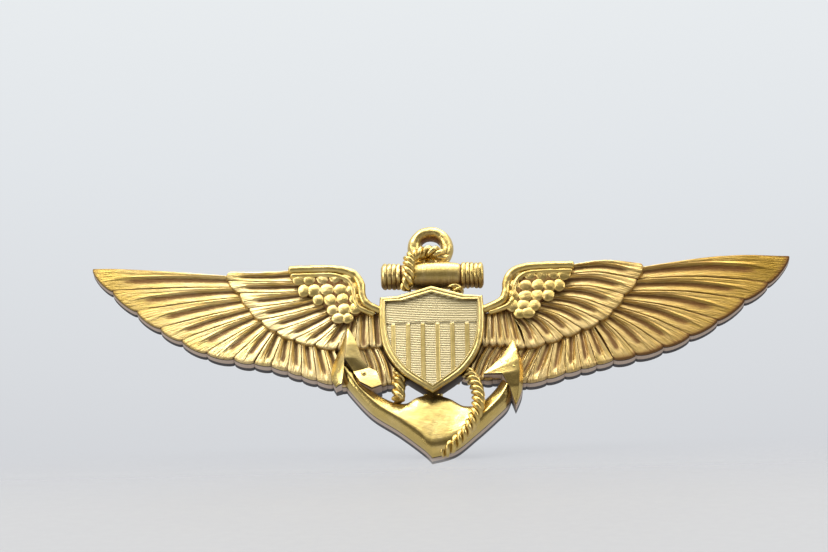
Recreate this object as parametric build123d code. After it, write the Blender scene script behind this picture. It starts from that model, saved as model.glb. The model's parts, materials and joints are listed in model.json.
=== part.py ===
from build123d import *
import math
import os

# Naval pilot's wings badge with a pin back, in millimetres.
#
# A pair of outspread wings carries a fouled anchor and a striped shield. The badge stands upright, as
# it is worn: +X runs along the span, +Z is up and the relief faces -Y. The origin is on the flat back
# of the bridge behind the shield. A "height" below is a distance in front of the back plane, towards
# -Y; the fittings of the pin stand behind that plane, towards +Y.

# ---------------------------------------------------------------- driving dimensions, mm
SPAN = 69.85                 # from tip to tip, 2 3/4 in
LEVEL_HALF = 14.0            # the wing's outline stretches with the span outside this distance
TIP_HEIGHT = 1.30            # relief of the flight feathers at the tips
ROOT_HEIGHT = 2.05           # and near the body
COVERT_STEP = 0.35           # the coverts stand this far above the flight feathers
SHOULDER_STEP = 0.60         # and the pebbled shoulder this far
RIM_RADIUS = 0.38            # bead along the leading edge of the shoulder
SCALLOP_BULGE = 0.22         # bulge of a feather's end, as a share of its chord
GROOVE_DEPTH = 0.22          # V-groove between two feathers
GROOVE_START = 0.60          # it begins this far from the layer above
GROOVE_STOP = 0.30           # and ends this far before the notch
PEBBLE_RADIUS = 0.62         # small shoulder feathers
PEBBLE_PROUD = 0.32          # how far they stand out of the shoulder

BRIDGE_THICKNESS = 1.20      # plate that joins the wings behind the shield
BRIDGE_TOP = 1.90
BRIDGE_WAIST = -1.20
BRIDGE_BOTTOM = -4.90
BRIDGE_HALF_WIDTH = 4.40
BRIDGE_FOOT_HALF_WIDTH = 2.60

SHANK_HALF_WIDTH = 1.10      # anchor
SHANK_HEIGHT = 2.35
SHANK_TOP = 8.40
ARM_WALL = 1.80              # upright wall round the crown and arms
ARM_DOME = 1.20              # sloping part above that wall
ARM_DRAFT = 28.0             # degrees
PALM_HEIGHT = 3.25
PALM_EDGE = 0.35             # chamfer round a palm

STOCK_LEFT = -4.90           # anchor stock, a turned bar
STOCK_RIGHT = 5.25
STOCK_Z = 6.15
STOCK_RADIUS = 1.20
STOCK_BULGE = 0.14           # the middle swells by this much
STOCK_BULGE_HALF = 2.30
STRAP_THICKNESS = 0.55       # shank left behind the stock
STOCK_HEIGHT = STRAP_THICKNESS + STOCK_RADIUS + STOCK_BULGE

RING_Z = 9.55                # anchor ring
RING_OUTER = 2.33
RING_INNER = 1.20
RING_HEIGHT = 1.15           # of its middle

SHIELD_FRONT = 3.40
SHIELD_RIM = 0.55            # width of the plain rim
SHIELD_RECESS = 0.22         # depth of the field inside the rim
CHIEF_BOTTOM = 0.40          # the shield's upper field ends here
CHIEF_LINE = 0.12
STRIPE_PITCH = 1.46
STRIPE_WIDTH = 0.36
STRIPE_COUNT = 6
STRIPE_MIDDLE = -0.15

ROPE_RADIUS = 0.60           # fouling rope

PIN_Z = 3.00                 # pin fittings
PIN_AXIS_Y = 2.60            # from the back plane
HINGE_X = -0.279 * SPAN
CATCH_X = 0.286 * SPAN
PATCH_RADIUS = 2.30
PATCH_THICKNESS = 0.35
STEM_RADIUS = 0.50
STEM_POINT_RADIUS = 0.42     # where the catch holds it
STEM_TAPER = 1.00
STEM_PAST_CATCH = 0.60
POINT_LENGTH = 2.60
EYE_RADIUS = 0.85
EYE_THICKNESS = 0.95
EYE_CLEARANCE = 0.05         # each side, between the eye and an ear
NECK_LENGTH = 2.00           # flat neck between the eye and the round wire
NECK_HALF = 0.56
EAR_THICKNESS = 0.45
EAR_RADIUS = 0.95
RIVET_RADIUS = 0.35
RIVET_CLEARANCE = 0.03
RIVET_HEAD_RADIUS = 0.62
RIVET_HEAD = 0.25
SLOT_CLEARANCE = 0.12        # each side of the pin, in both slots of the catch
ROTOR_CLEARANCE = 0.05
ROTOR_WALL = 0.42
ROTOR_BORE = STEM_POINT_RADIUS + 0.20
ROTOR_RADIUS = ROTOR_BORE + ROTOR_WALL
ROTOR_END = 0.30             # the rotor is this much shorter than the housing at each end
CATCH_WALL = 0.45
CATCH_RADIUS = ROTOR_RADIUS + ROTOR_CLEARANCE + CATCH_WALL
CATCH_LENGTH = 2.80
FOOT_HALF_WIDTH = 0.80
TAB_OPEN_ANGLE = -45.0       # degrees from +Y towards +Z, with the catch open
CATCH_TURN = 80.0            # degrees from open to locked
TAB_THICKNESS = 0.40
TAB_WIDTH = 1.00
TAB_CLEARANCE = 0.10
TAB_REACH = CATCH_RADIUS + 1.05

# ---------------------------------------------------------------- outlines, (x, z)
# The trailing edge of each layer of feathers is a chain of notches from the tip back to the body;
# a rounded feather end fills each gap between two of them.
LEFT = {
    "side": -1,
    "neck": [(-5.40, 2.10), (-6.40, 2.90), (-6.30, 4.80)],
    "corner": [(-6.85, 6.30), (-8.60, 6.90)],
    "tops": [(-14.25, 6.95), (-20.10, 7.00), (-20.90, 6.70), (-33.95, 8.05)],
    "rim": [(-14.00, 6.71), (-9.20, 6.68), (-7.45, 6.03), (-6.75, 4.78), (-6.85, 3.18), (-5.50, 2.50)],
    "flight": [(-31.85, 5.50), (-29.35, 3.20), (-26.95, 1.25), (-24.80, -0.15), (-22.30, -1.60),
               (-19.60, -2.30), (-17.60, -2.80), (-15.90, -3.15), (-14.30, -3.70), (-12.90, -4.25),
               (-11.40, -4.80), (-9.80, -5.30)],
    "covert": [(-20.05, 5.78), (-19.05, 4.63), (-18.05, 2.88), (-17.00, 1.58), (-15.80, 0.48),
               (-14.20, -0.42), (-12.60, -1.02), (-11.00, -1.42), (-9.60, -1.72)],
    "shoulder": [(-13.55, 5.85), (-13.25, 4.20), (-11.95, 3.20), (-11.20, 2.05), (-9.90, 0.95),
                 (-8.60, 0.55)],
    "foot": [(-8.20, -4.80), (-6.20, -5.60), (-4.60, -5.50)],
    "pebbles": [(-12.65, 5.65), (-11.50, 5.65), (-10.35, 5.65), (-9.15, 5.60), (-12.50, 4.50),
                (-11.25, 4.45), (-10.10, 4.50), (-8.95, 4.45), (-11.10, 3.25), (-10.00, 3.35),
                (-8.90, 3.35), (-9.90, 2.20), (-8.80, 2.25)],
}
RIGHT = {
    "side": 1,
    "neck": [(5.40, 2.05), (6.95, 2.90), (6.85, 4.70)],
    "corner": [(7.30, 6.15), (8.70, 6.73)],
    "tops": [(14.50, 6.80), (21.10, 6.85), (21.40, 6.60), (35.90, 7.80)],
    "rim": [(14.25, 6.53), (9.40, 6.50), (7.90, 5.83), (7.25, 4.58), (7.35, 3.08), (5.90, 2.38)],
    "flight": [(33.55, 4.80), (31.10, 2.95), (28.30, 0.75), (25.45, -0.85), (22.80, -2.05),
               (20.05, -2.85), (17.80, -3.30), (16.15, -3.80), (14.60, -4.20), (13.00, -4.60),
               (11.20, -5.20), (9.20, -5.60)],
    "covert": [(20.35, 5.08), (19.25, 3.48), (18.05, 1.88), (16.85, 0.73), (15.10, -0.12),
               (13.30, -0.77), (11.70, -1.37), (10.20, -1.77), (8.90, -2.02)],
    "shoulder": [(13.75, 5.85), (13.35, 4.25), (12.15, 2.95), (11.10, 1.90), (9.90, 1.20),
                 (8.60, 1.15)],
    "foot": [(7.80, -4.60), (5.90, -5.30), (4.60, -5.20)],
    "pebbles": [(12.75, 5.55), (11.60, 5.50), (10.45, 5.50), (9.30, 5.45), (12.60, 4.40),
                (11.40, 4.35), (10.25, 4.35), (9.10, 4.35), (11.60, 3.25), (10.40, 3.25),
                (9.25, 3.25), (10.50, 2.25), (9.35, 2.15)],
}
# Crown and arms, from the left of the shank round the left arm, under the crown and up the right arm.
LEFT_ARM_INNER = [(-1.10, -6.60), (-2.60, -7.65), (-4.30, -7.30), (-6.20, -6.10), (-8.00, -3.60)]
LEFT_ARM_OUTER = [(-9.20, -4.60), (-7.95, -6.40), (-6.00, -8.65), (-3.40, -10.50), (-1.05, -12.45)]
CROWN_TIP = (-0.20, -13.35)
RIGHT_ARM_OUTER = [(2.10, -12.70), (4.20, -11.00), (6.10, -9.25), (7.30, -7.95), (7.90, -6.40)]
RIGHT_ARM_INNER = [(6.80, -5.40), (5.70, -6.80), (4.30, -8.00), (2.60, -8.00), (1.10, -6.60)]
LEFT_PALM = [(-8.25, 0.45), (-7.30, -1.60), (-6.90, -3.10), (-6.25, -4.00), (-5.50, -4.40), (-5.05, -5.95),
             (-6.10, -5.90), (-7.30, -5.00),
             (-8.20, -4.90), (-9.50, -6.20), (-10.00, -3.90), (-9.20, -1.90)]
RIGHT_PALM = [(7.95, -1.30), (6.90, -3.10), (5.00, -5.10), (6.80, -5.20), (7.55, -6.60), (8.05, -8.90),
              (8.75, -6.20), (8.90, -4.20)]
SHIELD_SHOULDER = (5.05, 3.20)
SHIELD_CREST = (3.40, 3.25)
SHIELD_PEAK = (0.00, 4.30)
SHIELD_SIDE = [(5.20, 0.60), (4.70, -2.30), (3.00, -4.90)]
SHIELD_POINT = (0.00, -7.10)
SHIELD_MIDDLE = -1.30
# Rope centre lines, (x, z, height).
RING_ROPE = [(1.55, 8.45, 1.10), (0.60, 8.65, 2.45), (-0.90, 8.55, 2.60), (-2.00, 7.75, 3.20),
             (-2.15, 6.60, 3.60), (-2.20, 5.30, 3.30), (-2.60, 4.30, 2.40)]
STOCK_ROPE = [(1.50, 5.60, 2.90), (2.10, 4.95, 3.00), (2.95, 4.05, 2.55)]
LEFT_ROPE = [(-3.20, -4.00, 1.85), (-3.35, -5.40, 1.95), (-3.40, -7.60, 2.40)]
RIGHT_ROPE = [(2.60, -3.80, 1.90), (3.75, -5.10, 2.20), (4.35, -7.00, 2.90), (4.15, -9.00, 3.25),
              (3.10, -10.90, 3.10), (1.60, -12.30, 2.50), (0.30, -13.00, 1.60)]
FORWARD = (0, -1, 0)


def slab(outline, low, high):
    """The region inside closed (x, z) curves, between two heights."""
    return extrude(Plane.XZ.offset(low) * make_face(outline), amount=high - low, dir=FORWARD)


def point(x, z, height):
    return (x, -height, z)


def closed(points):
    return Polyline(*points, close=True)


def spread(p):
    """Move an outline point of the wing outwards as the span grows."""
    stretch = (SPAN / 2 - LEVEL_HALF) / (69.85 / 2 - LEVEL_HALF)
    beyond = max(0.0, abs(p[0]) - LEVEL_HALF)
    return (math.copysign(abs(p[0]) + beyond * (stretch - 1), p[0]), p[1])


def spread_all(points):
    return [spread(p) for p in points]


def relief(x):
    """Height of the flight feathers at a distance x from the middle."""
    share = (abs(x) - LEVEL_HALF) / (SPAN / 2 - LEVEL_HALF)
    return ROOT_HEIGHT + (TIP_HEIGHT - ROOT_HEIGHT) * max(0.0, share)


def envelope(side, step):
    """Everything behind the sloping front of one wing, raised by a step."""
    far = SPAN / 2 + 5
    corners = [(0, 0), (0, ROOT_HEIGHT + step), (LEVEL_HALF, ROOT_HEIGHT + step), (far, relief(far) + step),
               (far, 0)]
    profile = make_face(closed([(side * x, -height) for x, height in corners]))
    return Pos(0, 0, -20) * extrude(profile, amount=40, dir=(0, 0, 1))


def feather_end(start, end, side):
    """The rounded end of one feather, between two notches of the trailing edge."""
    dx, dz = end[0] - start[0], end[1] - start[1]
    middle = ((start[0] + end[0]) / 2 - side * SCALLOP_BULGE * dz,
              (start[1] + end[1]) / 2 + side * SCALLOP_BULGE * dx)
    return ThreePointArc(start, middle, end)


def layer_outline(wing, top_count, notches, inner):
    """Outline of one layer: neck, round shoulder, straight tops, scalloped ends, inner edge."""
    side = wing["side"]
    tops = spread_all(wing["tops"][:top_count])
    chain = [tops[-1], *spread_all(notches)]
    neck_root = (side * BRIDGE_HALF_WIDTH, wing["neck"][0][1])
    edges = Line(neck_root, wing["neck"][0]) + Spline(*wing["neck"])
    edges += ThreePointArc(wing["neck"][-1], *wing["corner"]) + Polyline(wing["corner"][-1], *tops)
    for a, b in zip(chain, chain[1:]):
        edges += feather_end(a, b, side)
    return edges + Polyline(chain[-1], *inner, neck_root)


def along(points, position):
    """The point at a fractional position in a chain of points."""
    i = min(int(position), len(points) - 2)
    share = position - i
    (ax, az), (bx, bz) = points[i], points[i + 1]
    return (ax + (bx - ax) * share, az + (bz - az) * share)


def groove(start, end, step):
    """A V-shaped cutter along the front of the wing, from one (x, z) point to another."""
    a = Vector(*point(start[0], start[1], relief(start[0]) + step))
    b = Vector(*point(end[0], end[1], relief(end[0]) + step))
    run = (b - a).normalized()
    size = GROOVE_DEPTH * math.sqrt(2)
    foot = Plane(origin=a + run * GROOVE_START, x_dir=run.cross(Vector(*FORWARD)), z_dir=run)
    length = (b - a).length - GROOVE_START - GROOVE_STOP
    return extrude(foot * Rot(0, 0, 45) * Rectangle(size, size), amount=length, dir=run)


def grooves(border, notches, first, step):
    """One groove from each notch up to the border of the next layer."""
    pace = (len(border) - 1 - first) / (len(notches) - 1)
    positions = [first + i * pace for i in range(len(notches) - 1)]
    return [groove(along(border, p), notch, step) for p, notch in zip(positions, notches)]


def wing_solid(wing):
    """One wing: flight feathers, coverts over them, and the pebbled shoulder with its bead on top."""
    side = wing["side"]
    foot = (side * BRIDGE_FOOT_HALF_WIDTH, BRIDGE_BOTTOM)
    waist = (side * BRIDGE_HALF_WIDTH, BRIDGE_WAIST)
    layers = [(4, wing["flight"], [*wing["foot"], foot, waist], 0.0),
              (2, wing["covert"], [waist], COVERT_STEP),
              (1, wing["shoulder"], [(waist[0], wing["shoulder"][-1][1])], SHOULDER_STEP)]
    solid = None
    for top_count, notches, inner, step in layers:
        layer = slab(layer_outline(wing, top_count, notches, inner), 0, 6) & envelope(side, step)
        solid = layer if solid is None else solid + layer
    flight, covert = spread_all(wing["flight"]), spread_all(wing["covert"])
    covert_border = [spread(wing["tops"][1]), *covert]
    shoulder_border = [spread(wing["tops"][0]), *spread_all(wing["shoulder"])]
    solid -= grooves(covert_border, flight, 1.4, 0.0)
    solid -= grooves(shoulder_border, covert, 0.7, COVERT_STEP)
    bead_height = ROOT_HEIGHT + SHOULDER_STEP
    bead_path = Spline(*[point(x, z, bead_height) for x, z in wing["rim"]])
    solid += sweep(Plane(bead_path @ 0, z_dir=bead_path % 0) * Circle(RIM_RADIUS), path=bead_path)
    sunk = PEBBLE_RADIUS - PEBBLE_PROUD
    solid += [Pos(*point(x, z, bead_height - sunk)) * Sphere(PEBBLE_RADIUS) for x, z in wing["pebbles"]]
    return solid


def bridge_solid():
    right = [(BRIDGE_HALF_WIDTH, BRIDGE_TOP), (BRIDGE_HALF_WIDTH, BRIDGE_WAIST),
             (BRIDGE_FOOT_HALF_WIDTH, BRIDGE_BOTTOM)]
    left = [(-x, z) for x, z in reversed(right)]
    return slab(closed(right + left), 0, BRIDGE_THICKNESS)


def anchor_solid():
    """Shank, crown and arms. The shank passes behind the stock as a flat strap."""
    shank = slab(closed([(-SHANK_HALF_WIDTH, -8.5), (SHANK_HALF_WIDTH, -8.5), (SHANK_HALF_WIDTH, SHANK_TOP),
                         (-SHANK_HALF_WIDTH, SHANK_TOP)]), 0, SHANK_HEIGHT)
    outline = closed([*LEFT_ARM_INNER, *LEFT_ARM_OUTER, CROWN_TIP, *RIGHT_ARM_OUTER, *RIGHT_ARM_INNER])
    wall = slab(outline, 0, ARM_WALL)
    face = Plane.XZ.offset(ARM_WALL) * make_face(outline)
    dome = extrude(face, amount=ARM_DOME, taper=ARM_DRAFT)
    return shank + wall + dome


def stock_solid():
    """A turned bar with a swelling in the middle, lying along the span."""
    top = [(STOCK_LEFT, STOCK_RADIUS), (-STOCK_BULGE_HALF, STOCK_RADIUS)]
    end = [(STOCK_BULGE_HALF, STOCK_RADIUS), (STOCK_RIGHT, STOCK_RADIUS)]
    profile = Polyline((STOCK_LEFT, 0), *top) + Polyline(*end, (STOCK_RIGHT, 0), (STOCK_LEFT, 0))
    profile += ThreePointArc(top[-1], (0, STOCK_RADIUS + STOCK_BULGE), end[0])
    bar = revolve(make_face(profile), axis=Axis.X)
    return Pos(*point(0, STOCK_Z, STOCK_HEIGHT)) * bar


def ring_solid():
    tube = (RING_OUTER - RING_INNER) / 2
    ring = Torus(RING_OUTER - tube, tube)
    return Pos(*point(0, RING_Z, RING_HEIGHT)) * Rot(90, 0, 0) * ring


def shield_outline(inset):
    """Outline of the shield, or the same drawn smaller round its middle."""
    size = 1 - inset / SHIELD_SHOULDER[0]

    def place(x, z):
        return (x * size, SHIELD_MIDDLE + (z - SHIELD_MIDDLE) * size)

    right = [SHIELD_SHOULDER, *SHIELD_SIDE, SHIELD_POINT]
    top = [(-SHIELD_SHOULDER[0], SHIELD_SHOULDER[1]), (-SHIELD_CREST[0], SHIELD_CREST[1]), SHIELD_PEAK,
           SHIELD_CREST, SHIELD_SHOULDER]
    outline = Spline(*[place(x, z) for x, z in right]) + Spline(*[place(-x, z) for x, z in right])
    return outline + Polyline(*[place(x, z) for x, z in top])


def shield_solid():
    """A thick shield with a recessed field under a plain rim, a chief, and raised stripes."""
    floor = SHIELD_FRONT - SHIELD_RECESS
    chief_top = CHIEF_BOTTOM + CHIEF_LINE
    chief = [(-6, CHIEF_BOTTOM), (6, CHIEF_BOTTOM), (6, chief_top), (-6, chief_top)]
    marks = [slab(closed(chief), floor, SHIELD_FRONT)]
    for i in range(STRIPE_COUNT):
        left = STRIPE_MIDDLE + (i - (STRIPE_COUNT - 1) / 2) * STRIPE_PITCH - STRIPE_WIDTH / 2
        right = left + STRIPE_WIDTH
        stripe = [(left, -8), (right, -8), (right, chief_top), (left, chief_top)]
        marks.append(slab(closed(stripe), floor, SHIELD_FRONT))
    field = slab(shield_outline(SHIELD_RIM), floor, SHIELD_FRONT) - marks
    return slab(shield_outline(0), BRIDGE_THICKNESS, SHIELD_FRONT) - field


def palm_solid(points):
    palm = slab(closed(points), 0, PALM_HEIGHT)
    front = palm.faces().sort_by(Axis.Y)[0]
    return chamfer(front.edges(), PALM_EDGE)


def rope_solid(centre_line, radius):
    path = Spline(*[point(*p) for p in centre_line])
    return sweep(Plane(path @ 0, z_dir=path % 0) * Circle(radius), path=path)


def fitted(piece, *others):
    """A piece cut to sit on the others; loose scraps are dropped."""
    for other in others:
        piece = piece - other
    return max(piece.solids(), key=lambda s: s.volume)


def hinge_bracket_solid():
    """A round patch with two ears for the rivet."""
    patch = Cylinder(PATCH_RADIUS, PATCH_THICKNESS, align=(Align.CENTER, Align.CENTER, Align.MIN))
    solid = Pos(HINGE_X, 0, PIN_Z) * Rot(-90, 0, 0) * patch
    offset_z = EYE_THICKNESS / 2 + EYE_CLEARANCE
    for z in (PIN_Z + offset_z, PIN_Z - offset_z - EAR_THICKNESS):
        ear = Cylinder(EAR_RADIUS, EAR_THICKNESS, align=(Align.CENTER, Align.CENTER, Align.MIN))
        ear = Pos(HINGE_X, PIN_AXIS_Y, z) * ear
        web = Box(2 * EAR_RADIUS, PIN_AXIS_Y, EAR_THICKNESS, align=(Align.CENTER, Align.MIN, Align.MIN))
        web = Pos(HINGE_X, 0, z) * web
        solid += [ear, web]
    bore = Pos(HINGE_X, PIN_AXIS_Y, PIN_Z) * Cylinder(RIVET_RADIUS, 6)
    return solid - bore


def rivet_solid():
    half = EYE_THICKNESS / 2 + EYE_CLEARANCE + EAR_THICKNESS
    shaft = Cylinder(RIVET_RADIUS, 2 * half)
    head = Cylinder(RIVET_HEAD_RADIUS, RIVET_HEAD)
    heads = [Pos(0, 0, s * (half + RIVET_HEAD / 2)) * head for s in (1, -1)]
    return Pos(HINGE_X, PIN_AXIS_Y, PIN_Z) * (shaft + heads)


def stem_solid():
    """The pin: an eye on the rivet, a flat neck, a round wire, a thinner end in the catch and a point."""
    catch_start = CATCH_X - CATCH_LENGTH / 2 - STEM_TAPER
    point_start = CATCH_X + CATCH_LENGTH / 2 + STEM_PAST_CATCH
    start = HINGE_X + NECK_LENGTH
    profile = Polyline((start, 0), (start, STEM_RADIUS), (catch_start, STEM_RADIUS),
                       (catch_start + STEM_TAPER, STEM_POINT_RADIUS), (point_start, STEM_POINT_RADIUS),
                       (point_start + POINT_LENGTH, 0), (start, 0))
    wire = Pos(0, PIN_AXIS_Y, PIN_Z) * revolve(make_face(profile), axis=Axis.X)
    neck = Box(NECK_LENGTH, 2 * NECK_HALF, EYE_THICKNESS, align=(Align.MIN, Align.CENTER, Align.CENTER))
    eye = Cylinder(EYE_RADIUS, EYE_THICKNESS) + neck - Cylinder(RIVET_RADIUS + RIVET_CLEARANCE, 6)
    return wire + Pos(HINGE_X, PIN_AXIS_Y, PIN_Z) * eye


def sector(radius, length, start, stop):
    """A wedge about the pin's axis, between two angles measured from +Y towards +Z."""
    pie = make_face(Line((0, 0), polar(radius, start)) + Line(polar(radius, stop), (0, 0)) +
                    ThreePointArc(*[polar(radius, a) for a in (start, (start + stop) / 2, stop)]))
    return Pos(CATCH_X - length / 2, PIN_AXIS_Y, PIN_Z) * extrude(Plane.YZ * pie, amount=length)


def polar(radius, degrees):
    return (radius * math.cos(math.radians(degrees)), radius * math.sin(math.radians(degrees)))


def tube(outer, inner, length):
    """A tube round the pin's axis in the catch, with a slot that opens to +Y."""
    turned = Pos(CATCH_X, PIN_AXIS_Y, PIN_Z) * Rot(0, 90, 0)
    ring = turned * Cylinder(outer, length) - turned * Cylinder(inner, length + 2)
    slot_width = 2 * (STEM_POINT_RADIUS + SLOT_CLEARANCE)
    slot = Box(length + 2, 2 * outer, slot_width, align=(Align.CENTER, Align.MIN, Align.CENTER))
    slot = Pos(CATCH_X, PIN_AXIS_Y, PIN_Z) * slot
    return ring - slot


def catch_bracket_solid():
    """A round patch, a foot and a slotted housing with a window for the thumb tab."""
    patch = Cylinder(PATCH_RADIUS, PATCH_THICKNESS, align=(Align.CENTER, Align.CENTER, Align.MIN))
    solid = Pos(CATCH_X, 0, PIN_Z) * Rot(-90, 0, 0) * patch
    foot = Box(CATCH_LENGTH, PIN_AXIS_Y, 2 * FOOT_HALF_WIDTH, align=(Align.CENTER, Align.MIN, Align.CENTER))
    bore = Rot(0, 90, 0) * Cylinder(CATCH_RADIUS - CATCH_WALL / 2, CATCH_LENGTH + 2)
    bore = Pos(CATCH_X, PIN_AXIS_Y, PIN_Z) * bore
    solid += Pos(CATCH_X, 0, PIN_Z) * foot - bore
    solid += tube(CATCH_RADIUS, CATCH_RADIUS - CATCH_WALL, CATCH_LENGTH)
    spare = math.degrees((TAB_THICKNESS / 2 + TAB_CLEARANCE) / ROTOR_RADIUS)
    window = sector(2 * CATCH_RADIUS, TAB_WIDTH + 2 * TAB_CLEARANCE, TAB_OPEN_ANGLE - spare,
                    TAB_OPEN_ANGLE + CATCH_TURN + spare)
    return solid - window


def rotor_solid():
    """A slotted sleeve inside the housing, turned by its thumb tab."""
    sleeve = tube(ROTOR_RADIUS, ROTOR_BORE, CATCH_LENGTH - 2 * ROTOR_END)
    centred = (Align.CENTER, Align.MIN, Align.CENTER)
    tab = Box(TAB_WIDTH, TAB_REACH - ROTOR_BORE, TAB_THICKNESS, align=centred)
    knob = Pos(0, TAB_REACH - ROTOR_BORE, 0) * Rot(0, 90, 0) * Cylinder(TAB_THICKNESS, TAB_WIDTH)
    lever = Rot(TAB_OPEN_ANGLE, 0, 0) * Pos(0, ROTOR_BORE + 0.05, 0) * (tab + knob)
    return sleeve + Pos(CATCH_X, PIN_AXIS_Y, PIN_Z) * lever


# ---------------------------------------------------------------- assembly
bridge = bridge_solid()
stock = stock_solid()
ring = fitted(ring_solid(), stock)
left_wing = wing_solid(LEFT)
right_wing = wing_solid(RIGHT)
anchor = fitted(anchor_solid(), stock, ring, bridge, left_wing, right_wing)
shield = fitted(shield_solid(), anchor, left_wing, right_wing, stock)
left_palm = fitted(palm_solid(LEFT_PALM), anchor, left_wing)
right_palm = fitted(palm_solid(RIGHT_PALM), anchor, right_wing)
set_pieces = [stock, ring, shield, anchor, left_wing, right_wing, bridge]
ring_rope = fitted(rope_solid(RING_ROPE, ROPE_RADIUS), *set_pieces)
stock_rope = fitted(rope_solid(STOCK_ROPE, ROPE_RADIUS), *set_pieces)
left_rope = fitted(rope_solid(LEFT_ROPE, ROPE_RADIUS), *set_pieces)
right_rope = fitted(rope_solid(RIGHT_ROPE, ROPE_RADIUS), *set_pieces, right_palm)

parts = {
    "left_wing": left_wing,
    "right_wing": right_wing,
    "wing_bridge": bridge,
    "anchor": anchor,
    "left_palm": left_palm,
    "right_palm": right_palm,
    "anchor_stock": stock,
    "anchor_ring": ring,
    "ring_rope": ring_rope,
    "stock_rope": stock_rope,
    "left_rope": left_rope,
    "right_rope": right_rope,
    "shield": shield,
    "hinge_bracket": hinge_bracket_solid(),
    "hinge_rivet": rivet_solid(),
    "pin_stem": stem_solid(),
    "catch_bracket": catch_bracket_solid(),
    "catch_rotor": rotor_solid(),
}

os.makedirs("parts", exist_ok=True)
for name, shape in parts.items():
    solids = shape.solids()
    print(f"{name:16s} {len(solids)} solid, {shape.volume:8.3f} mm3")
    export_step(shape, f"parts/{name}.step")
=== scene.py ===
# %% [markdown]
# # A gilt pilot's wings badge
# The badge is about 70 mm wide: two feathered wings, a striped shield, an anchor with a rope round
# it, and a hinged pin behind. The engineered model is loaded first as a frame that never moves. The
# visible metal is then modelled over it in the same place, in metres, with the front facing -Y.

# %% Load the frame
import json
import math
import random

import bmesh
import bpy
from mathutils import Matrix, Vector, noise

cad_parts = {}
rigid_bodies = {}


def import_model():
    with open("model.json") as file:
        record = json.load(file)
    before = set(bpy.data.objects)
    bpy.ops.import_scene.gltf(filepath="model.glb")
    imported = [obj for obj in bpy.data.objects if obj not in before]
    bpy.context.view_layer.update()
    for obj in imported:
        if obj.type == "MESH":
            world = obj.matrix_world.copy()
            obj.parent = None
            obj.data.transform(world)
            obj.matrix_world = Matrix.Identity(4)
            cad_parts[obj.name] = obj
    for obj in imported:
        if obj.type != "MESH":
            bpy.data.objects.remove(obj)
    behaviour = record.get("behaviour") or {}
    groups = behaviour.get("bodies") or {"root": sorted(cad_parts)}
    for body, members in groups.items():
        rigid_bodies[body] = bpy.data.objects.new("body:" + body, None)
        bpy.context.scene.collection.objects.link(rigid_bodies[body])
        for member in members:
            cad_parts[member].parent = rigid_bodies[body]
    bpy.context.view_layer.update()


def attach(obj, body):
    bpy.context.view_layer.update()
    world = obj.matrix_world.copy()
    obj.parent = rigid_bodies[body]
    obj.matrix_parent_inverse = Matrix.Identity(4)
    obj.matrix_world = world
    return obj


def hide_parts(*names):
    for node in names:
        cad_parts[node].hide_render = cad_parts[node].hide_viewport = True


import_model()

# %% [markdown]
# ## Working in millimetres
# Jewellery is measured in millimetres, so every shape is drawn that way and scaled once at the end.
# A point on the relief is (x, z, height), where height is measured forwards from the flat back.
# Each piece of metal also carries three numbers on its points: how deep in a groove or hollow a point
# lies, which sets its painted shade, how far down the cut edge it is, which sets the painted edge
# reflection and shadow, and two lengths that run across and along a feather.

# %% Points, curves and numbers
MM = 0.001


def metal_point(x, z, height):
    return Vector((x, -height, z))


def mix(a, b, share):
    return a + (b - a) * share


def ease(low, high, value):
    share = min(1.0, max(0.0, (value - low) / (high - low)))
    return share * share * (3 - 2 * share)


def vectors(points):
    return [Vector(p) for p in points]


def along(points, share):
    """A point on the smooth curve through some points."""
    place = share * (len(points) - 1)
    i = min(int(place), len(points) - 2)
    f = place - i
    p = [Vector(points[max(0, min(len(points) - 1, i + k))]) for k in (-1, 0, 1, 2)]
    return 0.5 * (2 * p[1] + (p[2] - p[0]) * f + (2 * p[0] - 5 * p[1] + 4 * p[2] - p[3]) * f ** 2
                  + (3 * p[1] - p[0] - 3 * p[2] + p[3]) * f ** 3)


def stepped(knots, values, at):
    """A value between knots, by straight lines."""
    for a, b, va, vb in zip(knots, knots[1:], values, values[1:]):
        if at <= b:
            return mix(va, vb, (at - a) / (b - a) if b > a else 0.0)
    return values[-1]


# %% [markdown]
# ## Starting and finishing a piece
# A real part ends with filing, plating and mounting. Here the same last steps are turning the faces
# outwards, marking which edges stay sharp, bringing millimetres to metres, giving the piece its
# finish and its place on the moving body, and hiding the solids that it stands in for.

# %% Start and finish a piece of metal
LAYERS = ("depth", "edge", "across", "along")


def new_metal():
    bm = bmesh.new()
    for name in LAYERS:
        bm.verts.layers.float.new(name)
    return bm


def finish_metal(bm, name, finish, node_names=(), crease=38.0):
    """Turns a mesh in millimetres into a piece of the badge."""
    bmesh.ops.recalc_face_normals(bm, faces=bm.faces)
    across, down = bm.verts.layers.float["across"], bm.verts.layers.float["along"]
    uv = bm.loops.layers.uv.verify()
    for face in bm.faces:
        face.smooth = True
        for loop in face.loops:
            loop[uv].uv = (loop.vert[across], loop.vert[down])
    for edge in bm.edges:
        edge.smooth = not (edge.is_manifold and edge.calc_face_angle(0.0) > math.radians(crease))
    bmesh.ops.scale(bm, vec=(MM, MM, MM), verts=bm.verts)
    mesh = bpy.data.meshes.new(name)
    bm.to_mesh(mesh)
    bm.free()
    piece = bpy.data.objects.new(name, mesh)
    bpy.context.scene.collection.objects.link(piece)
    mesh.materials.append(finish)
    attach(piece, "badge")
    if node_names:
        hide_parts(*node_names)
    print(f"{name}: {len(mesh.polygons)} faces")
    return piece


# %% [markdown]
# ## Relief as a shell
# A stamped part is a front surface with a flat back. It could be cut from a block, but a grid laid
# over the relief and extruded back gives one closed shell with a clean cut edge.

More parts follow.
